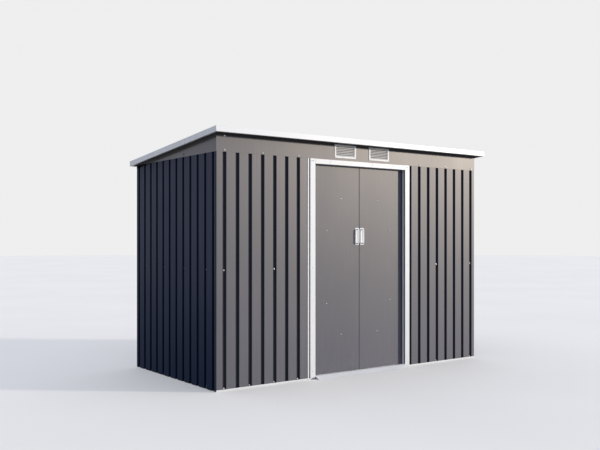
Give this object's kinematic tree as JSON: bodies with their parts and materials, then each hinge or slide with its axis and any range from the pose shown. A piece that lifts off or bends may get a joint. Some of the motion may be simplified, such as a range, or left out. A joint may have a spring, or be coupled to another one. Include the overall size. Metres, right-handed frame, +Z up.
{
  "type": "metal tool shed",
  "caption": "Pent-roof metal tool shed with grooved grey steel walls, white trims, louvred vents and sliding double doors",
  "frame": {"origin": "centre of the bounding box's bottom, on the floor under the middle of the roof", "axes": "+X along the front, to the right as seen from the front; +Y from the front to the rear; +Z up"},
  "size_m": [2.552, 1.3422, 1.7173],
  "materials": {
    "grey_paint": "satin",
    "white_trim": "satin",
    "zinc_steel": "matte",
    "white_plastic": "matte",
    "black_plastic": "matte"
  },
  "bodies": {
    "shed": {"door_head_trim": "white_trim", "front_base_track": "white_trim", "front_header": "grey_paint", "front_left_wall": "grey_paint", "front_right_wall": "grey_paint", "front_roof_trim": "white_trim", "left_base_rail": "zinc_steel", "left_door_jamb": "white_trim", "left_front_post": "zinc_steel", "left_gable_panel": "grey_paint", "left_rear_post": "zinc_steel", "left_roof_trim": "white_trim", "left_vent": "white_plastic", "left_wall_front_panel": "grey_paint", "left_wall_rear_panel": "grey_paint", "rear_base_rail": "zinc_steel", "rear_header": "grey_paint", "rear_roof_trim": "white_trim", "rear_wall_left_panel": "grey_paint", "rear_wall_middle_panel": "grey_paint", "rear_wall_right_panel": "grey_paint", "right_base_rail": "zinc_steel", "right_door_jamb": "white_trim", "right_front_post": "zinc_steel", "right_gable_panel": "grey_paint", "right_rear_post": "zinc_steel", "right_roof_trim": "white_trim", "right_vent": "white_plastic", "right_wall_front_panel": "grey_paint", "right_wall_rear_panel": "grey_paint", "roof_beam": "zinc_steel", "roof_left_panel": "grey_paint", "roof_middle_panel": "grey_paint", "roof_right_panel": "grey_paint", "threshold_ramp": "white_trim", "upper_door_track": "zinc_steel", "wall_braces": "zinc_steel"},
    "left_door": {"left_door_brace": "zinc_steel", "left_door_handle": "white_plastic", "left_door_leaf": "grey_paint", "left_door_runners": "black_plastic"},
    "right_door": {"right_door_brace": "zinc_steel", "right_door_handle": "white_plastic", "right_door_leaf": "grey_paint", "right_door_runners": "black_plastic"}
  },
  "joints": [
    {"name": "left_door_slide", "type": "slide", "parent": "shed", "child": "left_door", "axis": [-1, 0, 0], "range_m": [0, 0.384]},
    {"name": "right_door_slide", "type": "slide", "parent": "shed", "child": "right_door", "axis": [1, 0, 0], "range_m": [0, 0.384]}
  ]
}
